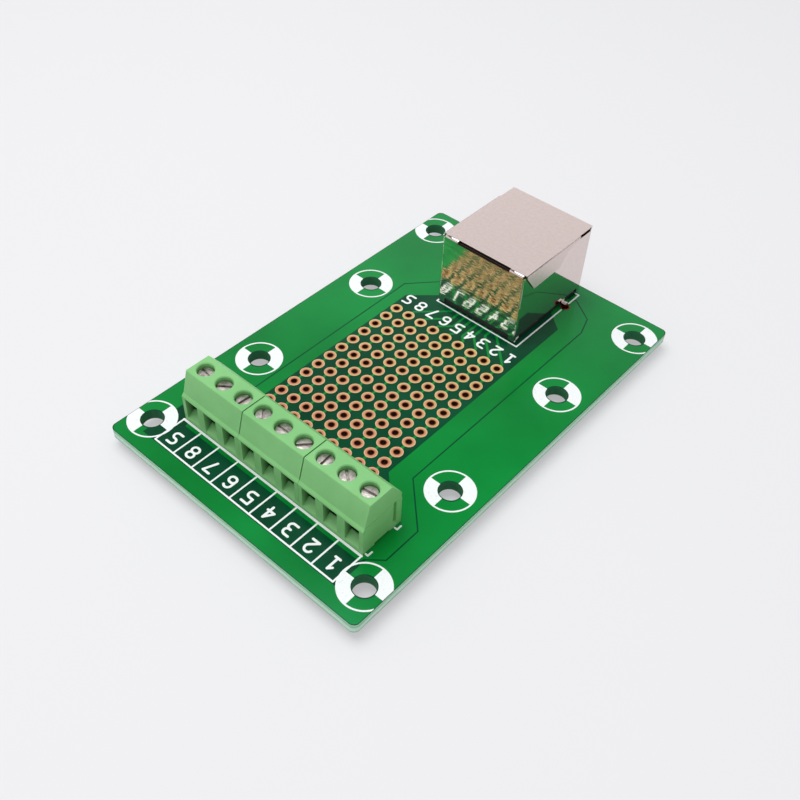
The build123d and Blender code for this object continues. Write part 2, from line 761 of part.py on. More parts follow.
def contact_carrier():
    """Black insert that spaces the contacts, with a groove for each up its back and over its top."""
    y0 = jack_rear_y + carrier_from_rear
    y1 = y0 + carrier_len
    body = solid_between(jack_x - carrier_w / 2, jack_x + carrier_w / 2, y0, y1,
                         top_z + carrier_bottom, top_z + carrier_top)
    groove = contact_r + groove_play
    floor_y = jack_rear_y + contact_rise_from_rear + groove
    floor_z = top_z + contact_run_z - groove
    for index in range(8):
        x = groove_x(index)
        body = body - solid_between(x - groove, x + groove, y0 - 1, floor_y, top_z, top_z + carrier_top + 1)
        body = body - solid_between(x - groove, x + groove, y0 - 1, y1 + 1, floor_z, top_z + carrier_top + 1)
    return body


def jack_contact(index):
    """One bent wire: solder tail, jog to the port's pitch, rise, run over the port and sprung tip."""
    tail_x, tail_y = jack_pins()[index]
    x = groove_x(index)
    rise_y = jack_rear_y + contact_rise_from_rear
    nose_y = jack_front_y - contact_nose_from_front
    points = [
        (tail_x, tail_y, -contact_tail_below),
        (tail_x, tail_y, top_z + jog_bottom),
        (x, rise_y, top_z + jog_top),
        (x, rise_y, top_z + contact_run_z),
        (x, nose_y, top_z + contact_run_z),
        (x, nose_y - contact_tip_back, top_z + contact_tip_z),
    ]
    radii = [contact_bend_r, contact_bend_r, contact_bend_r, contact_nose_r]
    route = FilletPolyline(*points, radius=radii)
    return sweep(Plane(origin=points[0], z_dir=(0, 0, 1)) * Circle(contact_r), path=route)


# Solder under the board

def solder_cone(x, y, foot_r, tip_r, bottom, hole):
    """A cone of solder round a pin, from its rim down."""
    top = -pad_lift
    cone = Pos(x, y, top) * Cone(tip_r, foot_r, top - bottom, align=(Align.CENTER, Align.CENTER, Align.MAX))
    return cone - hole


def solder_solids():
    """Solder at each terminal pin, contact tail and shield tab."""
    play = 0.01
    solids = []
    bottom = -solder_h
    for x in pole_x:
        hole = solid_between(x - pin_w / 2, x + pin_w / 2, pin_y - leg_t / 2, pin_y + leg_t / 2, -3, 0)
        solids.append(solder_cone(x, pin_y, pin_pad_r, 0.5 + solder_tip, bottom, hole))
    for x, y in jack_pins():
        hole = post(x, y, contact_r + play, -3, 0)
        solids.append(solder_cone(x, y, tail_pad_r, contact_r + solder_tip, bottom, hole))
    for x, y in tab_places():
        hole = solid_between(x - sheet_t / 2, x + sheet_t / 2, y - tab_w / 2, y + tab_w / 2, -3, 0)
        solids.append(solder_cone(x, y, tab_pad_r, tab_w / 2 + solder_tip, bottom, hole))
    return solids


def save(name, shape):
    """Write one node; a list becomes a group of separate solids."""
    if isinstance(shape, list):
        shape = Compound(children=shape)
    export_step(shape, f"parts/{name}.step")


os.makedirs("parts", exist_ok=True)

foil = foil_solids()
save("board", board_solid(foil))
save("trace_copper", foil)
for x, mark in zip(column_x, column_marks):
    save(f"pads_column_{mark.lower()}", [eyelet(x, y, pad_hole_r, pad_r) for y in row_y])
soldered = [(x, pin_y, pin_hole_r, pin_pad_r) for x in pole_x]
soldered += [(x, y, tail_hole_r, tail_pad_r) for x, y in jack_pins()]
soldered += [(x, y, tab_hole_r, tab_pad_r) for x, y in tab_places()]
save("plated_holes", [eyelet(*hole) for hole in soldered])
save("silk_legend", list(silk_solids()))
save("solder_joints", solder_solids())
for number in range(1, blocks + 1):
    save(f"terminal_housing_{number}", terminal_housing(number))
for number, x in enumerate(pole_x, 1):
    save(f"clamp_screw_{number}", clamp_screw(x))
    save(f"clamp_cage_{number}", clamp_cage(x))
    save(f"terminal_pin_{number}", terminal_pin(x))
save("jack_shield", jack_shield())
save("jack_housing", jack_housing())
save("contact_carrier", contact_carrier())
for index in range(8):
    save(f"jack_contact_{8 - index}", jack_contact(index))
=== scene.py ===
import math

import bpy
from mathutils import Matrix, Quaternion, Vector


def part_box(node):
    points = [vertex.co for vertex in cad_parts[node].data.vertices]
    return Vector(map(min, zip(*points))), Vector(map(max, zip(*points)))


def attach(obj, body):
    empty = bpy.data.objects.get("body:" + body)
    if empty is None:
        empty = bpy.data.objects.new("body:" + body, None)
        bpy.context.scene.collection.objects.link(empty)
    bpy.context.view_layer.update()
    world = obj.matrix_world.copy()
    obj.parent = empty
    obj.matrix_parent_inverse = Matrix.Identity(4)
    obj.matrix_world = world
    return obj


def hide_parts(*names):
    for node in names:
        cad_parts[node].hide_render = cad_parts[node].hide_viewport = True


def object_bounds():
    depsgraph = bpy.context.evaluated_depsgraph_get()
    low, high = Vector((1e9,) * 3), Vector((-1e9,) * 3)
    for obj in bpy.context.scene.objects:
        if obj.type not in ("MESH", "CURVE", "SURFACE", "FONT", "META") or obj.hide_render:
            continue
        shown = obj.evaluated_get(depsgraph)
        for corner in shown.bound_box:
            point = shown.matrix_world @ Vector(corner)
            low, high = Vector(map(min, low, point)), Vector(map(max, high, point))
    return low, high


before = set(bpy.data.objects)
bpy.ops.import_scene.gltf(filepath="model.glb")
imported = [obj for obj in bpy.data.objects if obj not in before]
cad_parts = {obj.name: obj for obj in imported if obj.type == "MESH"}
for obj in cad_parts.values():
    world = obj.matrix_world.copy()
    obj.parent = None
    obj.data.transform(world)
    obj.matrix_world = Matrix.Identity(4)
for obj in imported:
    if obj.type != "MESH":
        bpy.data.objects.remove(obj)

cad_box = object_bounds()
mm = 0.001

# The bare board: glass cloth in resin, 1.6 mm thick, with a glossy dark green mask on both faces.
# It is routed from a panel, so its edge shows the pale plies.
# The walls of its holes are a darker green than its edge.
board_low, board_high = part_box("board")
mask_depth = 0.02 * mm
rim_band = 1 * mm
cloth_pitch = 0.55 * mm
cloth_relief = 0.004 * mm
ply_pitch = 0.2 * mm
ply_waver = 1.5
bands_in_unit = 20
mask_dark = (0.0012, 0.05, 0.02, 1)
mask_dark_worn = (0.002, 0.075, 0.03, 1)
mask_blotches = 160
mask_roughness = 0.17
mask_specular = 0.16
edge_roughness = 0.72
laminate_pale = (0.55, 0.76, 0.6, 1)
laminate_deep = (0.3, 0.55, 0.38, 1)
hole_wall = (0.04, 0.2, 0.09, 1)


def new_material(name):
    """A node material, with its tree and its surface shader."""
    material = bpy.data.materials.new(name)
    material.use_nodes = True
    tree = material.node_tree
    return material, tree, tree.nodes["Principled BSDF"]


def add_node(tree, kind, values=None, **settings):
    """A node with its settings, and values for its inputs by name or number."""
    node = tree.nodes.new(kind)
    for key, value in settings.items():
        setattr(node, key, value)
    for socket, value in (values or {}).items():
        node.inputs[socket].default_value = value
    return node


def object_place(tree):
    """The socket that gives a point's place on the object, in metres."""
    return add_node(tree, "ShaderNodeTexCoord").outputs["Object"]


def split(tree, vector):
    """The X, Y and Z sockets of a vector."""
    node = add_node(tree, "ShaderNodeSeparateXYZ")
    tree.links.new(vector, node.inputs[0])
    return node.outputs


def noise(tree, place, scale, detail=3.0):
    """Cloudy variation of the given number of blotches a metre."""
    node = add_node(tree, "ShaderNodeTexNoise", {"Scale": scale, "Detail": detail})
    tree.links.new(place, node.inputs["Vector"])
    return node.outputs["Fac"]


def bands(tree, place, pitch, direction, waver=0.0):
    """Even bands of the given pitch, one after another along a direction."""
    scale = 1 / pitch / bands_in_unit
    node = add_node(tree, "ShaderNodeTexWave", {"Scale": scale, "Distortion": waver},
                    bands_direction=direction)
    tree.links.new(place, node.inputs["Vector"])
    return node.outputs["Fac"]


def plain(tree, colour):
    """A socket that gives one colour everywhere."""
    node = add_node(tree, "ShaderNodeRGB")
    node.outputs[0].default_value = colour
    return node.outputs[0]


def between(tree, factor, first, second, low=0.0, high=1.0):
    """A colour that runs from first to second while factor runs from low to high."""
    ramp = add_node(tree, "ShaderNodeValToRGB")
    ramp.color_ramp.elements[0].position = low
    ramp.color_ramp.elements[0].color = first
    ramp.color_ramp.elements[1].position = high
    ramp.color_ramp.elements[1].color = second
    tree.links.new(factor, ramp.inputs["Fac"])
    return ramp.outputs["Color"]


def mixed(tree, factor, first, second):
    """One colour socket laid over another by a factor socket."""
    mix = add_node(tree, "ShaderNodeMix", data_type="RGBA")
    tree.links.new(factor, mix.inputs["Factor"])
    tree.links.new(first, mix.inputs[6])
    tree.links.new(second, mix.inputs[7])
    return mix.outputs[2]


def figure(tree, operation, first, second):
    """Arithmetic on a socket and a number, or on two sockets."""
    node = add_node(tree, "ShaderNodeMath", operation=operation)
    tree.links.new(first, node.inputs[0])
    if isinstance(second, (int, float)):
        node.inputs[1].default_value = second
    else:
        tree.links.new(second, node.inputs[1])
    return node.outputs[0]


def roughness_range(tree, shader, factor, low, high):
    """Lets the gloss vary from low to high roughness with a factor."""
    span = add_node(tree, "ShaderNodeMapRange", {"To Min": low, "To Max": high})
    tree.links.new(factor, span.inputs["Value"])
    tree.links.new(span.outputs["Result"], shader.inputs["Roughness"])


def raise_bumps(tree, shader, height, distance):
    """Small relief from a height socket; distance is its depth in metres."""
    bump = add_node(tree, "ShaderNodeBump", {"Strength": 1.0, "Distance": distance})
    tree.links.new(height, bump.inputs["Height"])
    tree.links.new(bump.outputs["Normal"], shader.inputs["Normal"])


def finish_node(name, material):
    """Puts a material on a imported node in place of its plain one."""
    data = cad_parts[name].data
    data.materials.clear()
    data.materials.append(material)


laminate, tree, shader = new_material("masked_laminate")
place = object_place(tree)
axes = split(tree, place)
above = figure(tree, "GREATER_THAN", axes["Z"], board_high.z - mask_depth)
below = figure(tree, "LESS_THAN", axes["Z"], board_low.z + mask_depth)
on_face = figure(tree, "ADD", above, below)
mask_cloud = noise(tree, place, mask_blotches)
mask_colour = between(tree, mask_cloud, mask_dark, mask_dark_worn, 0.35, 0.7)
plies = bands(tree, place, ply_pitch, "Z", ply_waver)
edge_colour = between(tree, plies, laminate_deep, laminate_pale, 0.1, 0.6)
near_side = figure(tree, "GREATER_THAN", figure(tree, "ABSOLUTE", axes["X"], 0), board_high.x - rim_band)
near_end = figure(tree, "GREATER_THAN", figure(tree, "ABSOLUTE", axes["Y"], 0), board_high.y - rim_band)
outer = figure(tree, "MAXIMUM", near_side, near_end)
wall_colour = mixed(tree, outer, plain(tree, hole_wall), edge_colour)
tree.links.new(mixed(tree, on_face, wall_colour, mask_colour), shader.inputs["Base Color"])
weave = figure(tree, "MULTIPLY", bands(tree, place, cloth_pitch, "X"), bands(tree, place, cloth_pitch, "Y"))
raise_bumps(tree, shader, weave, cloth_relief)
gloss = figure(tree, "MULTIPLY", on_face, mask_roughness - edge_roughness)
tree.links.new(figure(tree, "ADD", gloss, edge_roughness), shader.inputs["Roughness"])
shader.inputs["Specular IOR Level"].default_value = mask_specular
finish_node("board", laminate)

# Copper foil under the mask: the pour round the edge, the shield's two nets and the eight column nets.
# The same green mask is brighter over copper, and its gloss is tinted green and blue.
foil_deep = (0.0006, 0.18, 0.02, 1)
foil_bright = (0.0015, 0.25, 0.033, 1)
foil_gloss = {"Specular IOR Level": 0.45, "Specular Tint": (0.4, 0.95, 1.0, 1)}


def clouded(name, colours, span, cloud, rough, relief, grain=None, stretch=None, values=None):
    """A material that varies between two colours and two degrees of roughness.

    cloud and grain are pairs, the blotches a metre and their detail. The relief follows the grain if
    there is one, and otherwise the cloud. stretch draws the cloud out into lines.
    """
    material, tree, shader = new_material(name)
    place = object_place(tree)
    drawn = place
    if stretch:
        mapping = add_node(tree, "ShaderNodeMapping", {"Scale": stretch})
        tree.links.new(place, mapping.inputs["Vector"])
        drawn = mapping.outputs["Vector"]
    blotches = noise(tree, drawn, *cloud)
    tree.links.new(between(tree, blotches, *colours, *span), shader.inputs["Base Color"])
    roughness_range(tree, shader, blotches, *rough)
    height = noise(tree, place, *grain) if grain else blotches
    raise_bumps(tree, shader, height, relief)
    for socket, value in (values or {}).items():
        shader.inputs[socket].default_value = value
    return material


masked_foil = clouded("masked_foil", (foil_deep, foil_bright), span=(0.35, 0.68), cloud=(55, 4.0),
                      rough=(0.14, 0.22), relief=0.002 * mm, grain=(900, 2.0), values=foil_gloss)
finish_node("trace_copper", masked_foil)

# Plated holes on a 2.54 mm grid, nine columns of twelve, each a bare copper rim.
# A rim is red-brown round the drilled hole and worn pale outside, salmon by the terminals and
# more golden towards the jack.
pad_pitch = 2.54 * mm
first_pad = (-11.43 * mm, 10.65 * mm)
grid_length = 28 * mm
rim_radius = 0.97 * mm
hole_radius = 0.42 * mm
half_cell = (0.5, 0.5, 0)
copper_barrel = (0.09, 0.022, 0.008, 1)
copper_dark = (0.22, 0.05, 0.022, 1)
copper_salmon = (0.66, 0.27, 0.145, 1)
copper_pale = (0.82, 0.5, 0.3, 1)
copper_amber = (0.78, 0.44, 0.19, 1)
copper_gold = (0.9, 0.72, 0.36, 1)
dark_ring = 0.52
band_start = 0.62
band_end = 0.8
rim_edge = 0.95
rim_wobble = 0.14
worn_metal = 0.55
column_names = [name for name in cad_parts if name.startswith("pads_column_")]


def vector_figure(tree, operation, first, second=(0, 0, 0)):
    """Arithmetic on a vector socket and a fixed vector."""
    node = add_node(tree, "ShaderNodeVectorMath", {1: second}, operation=operation)
    tree.links.new(first, node.inputs[0])
    return node


pad_copper, tree, shader = new_material("pad_copper")
place = object_place(tree)
shift = vector_figure(tree, "SUBTRACT", place, (*first_pad, 0)).outputs[0]
steps = vector_figure(tree, "MULTIPLY", shift, (1 / pad_pitch, 1 / pad_pitch, 0)).outputs[0]
cell = vector_figure(tree, "ADD", steps, half_cell).outputs[0]
cell = vector_figure(tree, "FRACTION", cell).outputs[0]
centred = vector_figure(tree, "SUBTRACT", cell, half_cell).outputs[0]
length = vector_figure(tree, "LENGTH", centred).outputs["Value"]
reach = figure(tree, "DIVIDE", length, rim_radius / pad_pitch)
wobble = figure(tree, "MULTIPLY", noise(tree, place, 1500, 2.0), rim_wobble)
reach = figure(tree, "ADD", reach, figure(tree, "SUBTRACT", wobble, rim_wobble / 2))
rims = []
for band, edge in ((copper_salmon, copper_pale), (copper_amber, copper_gold)):
    rings = add_node(tree, "ShaderNodeValToRGB")
    rings.color_ramp.elements[0].position = hole_radius / rim_radius
    rings.color_ramp.elements[0].color = copper_barrel
    rings.color_ramp.elements[1].position = rim_edge
    rings.color_ramp.elements[1].color = edge
    for position, colour in ((dark_ring, copper_dark), (band_start, band), (band_end, band)):
        rings.color_ramp.elements.new(position).color = colour
    tree.links.new(reach, rings.inputs["Fac"])
    rims.append(rings.outputs["Color"])
near_jack = figure(tree, "ADD", split(tree, place)["Y"], grid_length - first_pad[1])
near_jack = figure(tree, "DIVIDE", near_jack, grid_length)
tree.links.new(mixed(tree, near_jack, *rims), shader.inputs["Base Color"])
roughness_range(tree, shader, noise(tree, place, 800), 0.3, 0.5)
raise_bumps(tree, shader, noise(tree, place, 3000, 2.0), 0.006 * mm)
shader.inputs["Metallic"].default_value = worn_metal
for name in column_names:
    finish_node(name, pad_copper)

# The plated holes of the soldered parts: the same copper, dulled dark red by flux and heat, and painted
# darker still as the shade beside the shield.
# Only the two beside the shield's tabs are seen from above.
# The darker colour is partly flux and partly painted shade.
flux_shade_dark = (0.07, 0.012, 0.01, 1)
flux_red = (0.3, 0.06, 0.045, 1)

flux_and_shade_copper = clouded("flux_and_shade_copper", (flux_shade_dark, flux_red), span=(0.35, 0.65), cloud=(1500, 3.0),
                        rough=(0.3, 0.5), relief=0.01 * mm, values={"Metallic": 0.5})
finish_node("plated_holes", flux_and_shade_copper)

# White ink printed over the mask: rings round the mounting holes, digits, label boxes and outlines.
# It is screen printed, so it is flat, slightly uneven and a little thin at its edges.
ink_white = (0.86, 0.89, 0.89, 1)
ink_thin = (0.72, 0.8, 0.77, 1)

print_ink = clouded("print_ink", (ink_thin, ink_white), span=(0.25, 0.42), cloud=(2600, 2.0),
                    rough=(0.45, 0.6), relief=0.004 * mm)
finish_node("silk_legend", print_ink)

# Terminal blocks: three mouldings of pale green nylon, three poles in each, side by side.
# Each edge is rounded by the mould, and the faces have the tool's fine even grain. The walls of the
# wire entries are painted dark as shade, darker deeper in.
mould_edge = 0.1 * mm
weld_distance = 0.001 * mm
level_angle = math.radians(0.5)
sharp_angle = math.radians(35)
nylon_light = (0.225, 0.555, 0.2, 1)
nylon_deep = (0.19, 0.5, 0.17, 1)
# The next two colours are painted shade inside the wire entries.
entry_shade_colour = (0.015, 0.06, 0.018, 1)
entry_shade_deepest = (0.008, 0.035, 0.01, 1)
nylon_specular = 0.4
pole_step = 3.81 * mm
entry_half = 1.55 * mm
entry_top_z = 6.0 * mm
entry_shade_from = 0.15 * mm
entry_shade_full = 1.25 * mm
chamber_end = 5.5 * mm
upward_limit = 0.2
block_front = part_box("terminal_housing_1")[0].y


def edged_copy(node, name, edge, body="base"):
    """The node's own shape with its sharp edges rounded, shown in the node's place."""
    piece = bpy.data.objects.new(name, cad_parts[node].data.copy())
    bpy.context.collection.objects.link(piece)
    bpy.ops.object.select_all(action="DESELECT")
    bpy.context.view_layer.objects.active = piece
    piece.select_set(True)
    bpy.ops.object.mode_set(mode="EDIT")
    bpy.ops.mesh.select_all(action="SELECT")
    bpy.ops.mesh.remove_doubles(threshold=weld_distance)
    bpy.ops.mesh.dissolve_limited(angle_limit=level_angle)
    bpy.ops.object.mode_set(mode="OBJECT")
    bevel = piece.modifiers.new("edges", "BEVEL")
    bevel.width = edge
    bevel.segments = 2
    bevel.limit_method = "ANGLE"
    bevel.angle_limit = sharp_angle
    bpy.ops.object.modifier_apply(modifier=bevel.name)
    bpy.ops.object.shade_smooth_by_angle(angle=sharp_angle)
    flats = piece.modifiers.new("flats", "WEIGHTED_NORMAL")
    flats.keep_sharp = True
    flats.weight = 100
    bpy.ops.object.modifier_apply(modifier=flats.name)
    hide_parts(node)
    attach(piece, body)
    return piece


def dress(piece, material):
    """Gives a new piece its material."""
    piece.data.materials.clear()
    piece.data.materials.append(material)


def face_direction(tree):
    """The X, Y and Z sockets of the direction that a face looks in."""
    return split(tree, add_node(tree, "ShaderNodeNewGeometry").outputs["True Normal"])


green_nylon, tree, shader = new_material("green_nylon")
place = object_place(tree)
cloud = noise(tree, place, 220, 4.0)
outside = between(tree, cloud, nylon_deep, nylon_light, 0.3, 0.65)
entry_painted_shade = between(tree, cloud, entry_shade_deepest, entry_shade_colour)
axes = split(tree, place)
# Painted shade: the walls of each wire entry turn near black from a little way in behind the front face.
off_pole = figure(tree, "PINGPONG", axes["X"], pole_step / 2)
depth = figure(tree, "SUBTRACT", axes["Y"], block_front)
entry_shade_mask = figure(tree, "LESS_THAN", off_pole, entry_half)
entry_shade_mask = figure(tree, "MULTIPLY", entry_shade_mask, figure(tree, "LESS_THAN", axes["Z"], entry_top_z))
entry_shade_mask = figure(tree, "MULTIPLY", entry_shade_mask, figure(tree, "LESS_THAN", depth, chamber_end))
not_upward = figure(tree, "LESS_THAN", face_direction(tree)["Z"], upward_limit)
entry_shade_mask = figure(tree, "MULTIPLY", entry_shade_mask, not_upward)
dark = figure(tree, "SUBTRACT", depth, entry_shade_from)
dark = figure(tree, "DIVIDE", dark, entry_shade_full - entry_shade_from)
dark = figure(tree, "MINIMUM", figure(tree, "MAXIMUM", dark, 0.0), 1.0)
shade = mixed(tree, figure(tree, "MULTIPLY", entry_shade_mask, dark), outside, entry_painted_shade)
tree.links.new(shade, shader.inputs["Base Color"])
roughness_range(tree, shader, cloud, 0.38, 0.5)
raise_bumps(tree, shader, noise(tree, place, 7000, 2.0), 0.005 * mm)
shader.inputs["Specular IOR Level"].default_value = nylon_specular
for number in (1, 2, 3):
    housing = edged_copy(f"terminal_housing_{number}", f"block_moulding_{number}", mould_edge)
    dress(housing, green_nylon)

# Clamp screws, zinc plated steel, one standing in each terminal's hole on the fixed bar below.
# The head is turned with a small chamfer and slotted, and the shank has a rolled M2 thread.
screw_count = 9
head_height = 0.85 * mm
head_chamfer = 0.1 * mm
slot_width = 0.4 * mm
slot_depth = 0.38 * mm
slot_turn_start = 35
slot_turn_step = 47
thread_pitch = 0.4 * mm
thread_depth = 0.2 * mm
core_radius = 0.95 * mm - thread_depth
crest_gap = 0.01 * mm
root_sink = 0.02 * mm
ridge_share = 0.8
crest_share = 0.25
steps_in_turn = 20
zinc_light = (0.6, 0.55, 0.52, 1)
zinc_dull = (0.3, 0.27, 0.25, 1)
full_metal = {"Metallic": 1.0}

zinc_plate = clouded("zinc_plate", (zinc_dull, zinc_light), span=(0.3, 0.62), cloud=(1400, 4.0),
                     rough=(0.32, 0.45), relief=0.03 * mm, grain=(2600, 3.0), values=full_metal)


def screw_head(name, middle, top, radius, slot_turn):
    """The chamfered head with its driver slot."""
    bpy.ops.object.select_all(action="DESELECT")
    bpy.ops.mesh.primitive_cylinder_add(vertices=40, radius=radius, depth=head_height,
                                        location=(middle.x, middle.y, top - head_height / 2))
    head = bpy.context.object
    head.name = name
    bevel = head.modifiers.new("chamfer", "BEVEL")
    bevel.width = head_chamfer
    bevel.segments = 3
    bevel.limit_method = "ANGLE"
    bpy.ops.object.modifier_apply(modifier=bevel.name)
    bpy.ops.mesh.primitive_cube_add(size=1, location=(middle.x, middle.y, top),
                                    rotation=(0, 0, math.radians(slot_turn)),
                                    scale=(slot_width, 3 * radius, 2 * slot_depth))
    cutter = bpy.context.object
    bpy.context.view_layer.objects.active = head
    cut = head.modifiers.new("slot", "BOOLEAN")
    cut.object = cutter
    cut.operation = "DIFFERENCE"
    cut.solver = "EXACT"
    bpy.ops.object.modifier_apply(modifier=cut.name)
    bpy.data.objects.remove(cutter)
    return head


def screw_thread(middle, bottom, height):
    """One ridge wound up round the shank."""
    root = core_radius - root_sink
    crest = core_radius + thread_depth - crest_gap
    bpy.ops.mesh.primitive_plane_add(size=thread_pitch * ridge_share,
                                     location=(0, 0, 0), rotation=(math.pi / 2, 0, 0))
    ridge = bpy.context.object
    bpy.ops.object.transform_apply(rotation=True)
    for vertex in ridge.data.vertices:
        outward = vertex.co.x > 0
        vertex.co.x = crest if outward else root
        vertex.co.z *= crest_share if outward else 1.0
    winding = ridge.modifiers.new("thread", "SCREW")
    winding.axis = "Z"
    winding.screw_offset = thread_pitch
    winding.iterations = int(height / thread_pitch) - 1
    winding.steps = steps_in_turn
    winding.render_steps = steps_in_turn
    bpy.ops.object.modifier_apply(modifier=winding.name)
    ridge.location = (middle.x, middle.y, bottom + thread_pitch / 2)
    return ridge


def clamp_screw(number, slot_turn):
    """One screw at its place: head, slot and threaded shank."""
    low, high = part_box(f"clamp_screw_{number}")
    middle = (low + high) / 2
    head = screw_head(f"screw_{number}", middle, high.z, (high.x - low.x) / 2, slot_turn)
    shank_top = high.z - head_height
    bpy.ops.mesh.primitive_cylinder_add(vertices=24, radius=core_radius, depth=shank_top - low.z,
                                        location=(middle.x, middle.y, (shank_top + low.z) / 2))
    shank = bpy.context.object
    ridge = screw_thread(middle, low.z, shank_top - low.z)
    bpy.ops.object.select_all(action="DESELECT")
    for part in (ridge, shank, head):
        part.select_set(True)
    bpy.context.view_layer.objects.active = head
    bpy.ops.object.join()
    bpy.ops.object.transform_apply(location=True, rotation=True, scale=True)
    bpy.ops.object.shade_smooth_by_angle(angle=sharp_angle)
    return head


for number in range(1, screw_count + 1):
    screw = clamp_screw(number, slot_turn_start + slot_turn_step * number)
    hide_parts(f"clamp_screw_{number}")
    dress(screw, zinc_plate)
    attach(screw, f"screw_{number}")

# Rising clamps, folded from nickel plated steel strip, one round each fixed bar under its screw.
# Rolling leaves fine lines along the strip, and the sheared edges are slightly rounded.
clamp_edge = 0.05 * mm
nickel_light = (0.64, 0.62, 0.6, 1)
nickel_dull = (0.42, 0.4, 0.39, 1)
rolled_lines = (1, 1, 14)

clamp_nickel = clouded("clamp_nickel", (nickel_dull, nickel_light), span=(0.35, 0.65), cloud=(700, 3.0),
                       rough=(0.25, 0.42), relief=0.004 * mm, stretch=rolled_lines, values=full_metal)
for number in range(1, screw_count + 1):
    cage = edged_copy(f"clamp_cage_{number}", f"clamp_{number}_strip", clamp_edge, f"clamp_{number}")
    dress(cage, clamp_nickel)

# Fixed bars of tinned brass strip, each bent down at the back into a solder pin through the board.
# The tin is soft and dull, with brass just showing through.
tin_light = (0.74, 0.73, 0.7, 1)
tin_brass = (0.6, 0.5, 0.33, 1)

tinned_strip = clouded("tinned_strip", (tin_brass, tin_light), span=(0.25, 0.5), cloud=(900, 4.0),
                       rough=(0.3, 0.45), relief=0.006 * mm, values=full_metal)
for number in range(1, screw_count + 1):
    pin = edged_copy(f"terminal_pin_{number}", f"fixed_bar_{number}", clamp_edge)
    dress(pin, tinned_strip)

# The jack's shield: bright nickel plated brass sheet, stamped and folded round the moulding.
# Its lid and flaps are satin, its rear plate has the mill's fine level lines, and its sides are
# nearly mirrors. Painted light: the lid is coloured lighter, the rear plate lighter and yellower,
# and the folds darker than the sides, for how each faces the light. The stamped edges were cut
# after plating, so they show brass; it is painted near black as the shade along them, and the
# lip over the slot under the lid is painted the same as shade.
shield_low, shield_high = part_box("jack_shield")
shield_middle = (shield_low + shield_high) / 2
sheet_edge = 0.03 * mm
sheet_thickness = 0.25 * mm
flap_outer = 7.95 * mm
flap_thickness = 0.22 * mm
lid_slot_half = 4.9 * mm
shield_light = (0.72, 0.61, 0.585, 1)
shield_dull = (0.67, 0.565, 0.54, 1)
# Near black: the brass of the stamped edges, painted darker as the shade along them, and on the lip over
# the slot as shade.
cut_brass_and_shade = (0.07, 0.02, 0.012, 1)
# Painted shade on the folds, and painted light on the lid and rear plate, which are coloured lighter than
# the sides.
fold_painted_shade = (0.3, 0.25, 0.24, 1)
lid_painted_bright = (0.86, 0.73, 0.7, 1)
lid_painted_mid = (0.78, 0.66, 0.63, 1)
rear_painted_gold = (0.75, 0.76, 0.6, 1)
rear_painted_pale = (1.0, 1.0, 0.86, 1)
mill_lines = (130, 130, 2100)
mill_relief = 0.035 * mm
flap_lean = 0.1
lid_facing = 0.98
rear_facing = -0.9
fold_facing = 0.15
mirror_roughness = 0.03
mottle_roughness = 0.05
rear_roughness = 0.05
satin_roughness = 0.3
cut_roughness = 0.4

shield_nickel, tree, shader = new_material("shield_nickel")
place = object_place(tree)
mottle = noise(tree, place, 1900, 5.0)
stretch = add_node(tree, "ShaderNodeMapping", {"Scale": mill_lines})
tree.links.new(place, stretch.inputs["Vector"])
mill = noise(tree, stretch.outputs["Vector"], 1, 1.0)
cut_edge_and_shade = add_node(tree, "ShaderNodeAttribute", attribute_name="cut_edge_and_shade").outputs["Fac"]
flap = add_node(tree, "ShaderNodeAttribute", attribute_name="flap").outputs["Fac"]
facing = face_direction(tree)
lid = figure(tree, "GREATER_THAN", facing["Z"], lid_facing)
rear = figure(tree, "LESS_THAN", facing["Y"], rear_facing)
sideways = figure(tree, "GREATER_THAN", figure(tree, "ABSOLUTE", facing["X"], 0), fold_facing)
fold = figure(tree, "MULTIPLY", sideways, figure(tree, "GREATER_THAN", facing["Z"], fold_facing))

# The one nickel sheet gets lit and shaded colours by the way each face looks: painted light and shade.
plating = between(tree, mottle, shield_dull, shield_light, 0.3, 0.7)
fold_shade = between(tree, mottle, fold_painted_shade, shield_dull)
lid_painted_light = between(tree, mottle, lid_painted_mid, lid_painted_bright, 0.3, 0.7)
rear_lines_painted_light = between(tree, mill, rear_painted_gold, rear_painted_pale, 0.35, 0.65)
sheet_colour = mixed(tree, fold, plating, fold_shade)
sheet_colour = mixed(tree, lid, sheet_colour, lid_painted_light)
sheet_colour = mixed(tree, rear, sheet_colour, rear_lines_painted_light)
sheet_colour = mixed(tree, cut_edge_and_shade, sheet_colour, plain(tree, cut_brass_and_shade))
tree.links.new(sheet_colour, shader.inputs["Base Color"])

gloss = figure(tree, "ADD", figure(tree, "MULTIPLY", mottle, mottle_roughness), mirror_roughness)
satin = figure(tree, "MULTIPLY", figure(tree, "MAXIMUM", lid, flap), satin_roughness)
brushed = figure(tree, "MULTIPLY", rear, rear_roughness)
dull_edge = figure(tree, "MULTIPLY", cut_edge_and_shade, cut_roughness)
for dulling in (satin, brushed, dull_edge):
    gloss = figure(tree, "ADD", gloss, dulling)
tree.links.new(gloss, shader.inputs["Roughness"])

bump = add_node(tree, "ShaderNodeBump", {"Distance": mill_relief})
tree.links.new(figure(tree, "MULTIPLY", mill, rear), bump.inputs["Height"])
lean = add_node(tree, "ShaderNodeCombineXYZ")
tree.links.new(figure(tree, "MULTIPLY", flap, flap_lean), lean.inputs["Z"])
leaning = add_node(tree, "ShaderNodeVectorMath", operation="ADD")
tree.links.new(bump.outputs["Normal"], leaning.inputs[0])
tree.links.new(lean.outputs["Vector"], leaning.inputs[1])
tree.links.new(leaning.outputs["Vector"], shader.inputs["Normal"])
shader.inputs["Metallic"].default_value = 1.0


